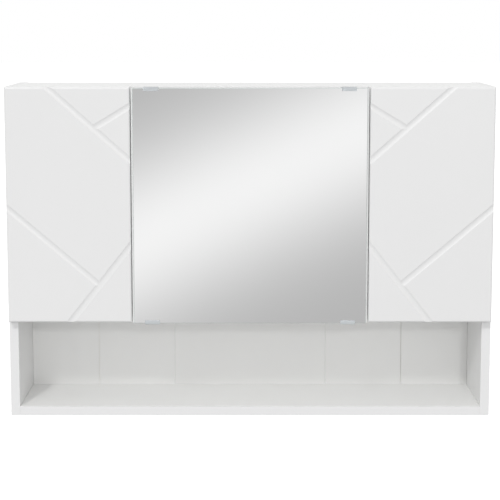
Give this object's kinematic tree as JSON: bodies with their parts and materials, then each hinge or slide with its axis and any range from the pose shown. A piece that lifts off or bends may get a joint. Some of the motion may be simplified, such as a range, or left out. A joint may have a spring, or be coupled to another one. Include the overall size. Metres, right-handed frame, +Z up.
{
  "type": "bathroom mirror cabinet",
  "caption": "White wall cabinet with a clipped mirror door between grooved side doors on cup hinges, shelves behind them and an open niche below.",
  "frame": {"origin": "midway between the two wall screw holes, on the rear face of the back boards", "axes": "+X to the right seen from the front, -Y towards the user, +Y to the wall, +Z up"},
  "size_m": [0.8, 0.1811, 0.55],
  "materials": {
    "carcass_foil": "white melamine faced board, satin",
    "back_foil": "thin white lacquered fibreboard",
    "door_foil": "white foil wrapped fibreboard, satin",
    "mirror_silver": "silvered float glass, ground edge",
    "clip_plastic": "clear pale blue moulded plastic",
    "hinge_nickel": "nickel plated pressed steel",
    "zinc_screw": "bright zinc plated steel",
    "cam_zinc": "die cast zinc",
    "beech": "plain beech",
    "joint_tape": "white self-adhesive tape",
    "bumper_rubber": "clear soft bumper"
  },
  "bodies": {
    "carcass": {"left_side_panel": "carcass_foil", "right_side_panel": "carcass_foil", "top_panel": "carcass_foil", "bottom_panel": "carcass_foil", "niche_top_panel": "carcass_foil", "left_divider": "carcass_foil", "right_divider": "carcass_foil", "hanging_rail": "carcass_foil", "left_shelf": "carcass_foil", "centre_shelf": "carcass_foil", "right_shelf": "carcass_foil", "back_board_left": "back_foil", "back_board_centre": "back_foil", "back_board_right": "back_foil", "hinge_arms": "hinge_nickel", "side_hinge_plates": "hinge_nickel", "mirror_hinge_plates": "hinge_nickel", "hinge_plate_screws": "zinc_screw", "hinge_arm_screws": "zinc_screw", "back_nails": "zinc_screw", "shelf_pins": "zinc_screw", "cam_bolts": "zinc_screw", "cams": "cam_zinc", "wood_dowels": "beech", "back_joint_tapes": "joint_tape"},
    "left_door": {"left_door": "door_foil", "left_hinge_cups": "hinge_nickel", "left_hinge_pins": "zinc_screw", "left_cup_screws": "zinc_screw", "left_bumpers": "bumper_rubber"},
    "mirror_door": {"mirror_board": "door_foil", "mirror_glass": "mirror_silver", "mirror_clips": "clip_plastic", "clip_screws": "zinc_screw", "mirror_hinge_cups": "hinge_nickel", "mirror_hinge_pins": "zinc_screw", "mirror_cup_screws": "zinc_screw", "mirror_bumpers": "bumper_rubber"},
    "right_door": {"right_door": "door_foil", "right_hinge_cups": "hinge_nickel", "right_hinge_pins": "zinc_screw", "right_cup_screws": "zinc_screw", "right_bumpers": "bumper_rubber"}
  },
  "joints": [
    {"name": "left_door_hinge", "type": "hinge", "parent": "carcass", "child": "left_door", "pos_m": [-0.391, -0.1632, 0], "axis": [0, 0, -1], "range_deg": [0, 95]},
    {"name": "mirror_door_hinge", "type": "hinge", "parent": "carcass", "child": "mirror_door", "pos_m": [-0.1835, -0.1632, 0], "axis": [0, 0, -1], "range_deg": [0, 95]},
    {"name": "right_door_hinge", "type": "hinge", "parent": "carcass", "child": "right_door", "pos_m": [0.391, -0.1632, 0], "axis": [0, 0, 1], "range_deg": [0, 95]}
  ]
}
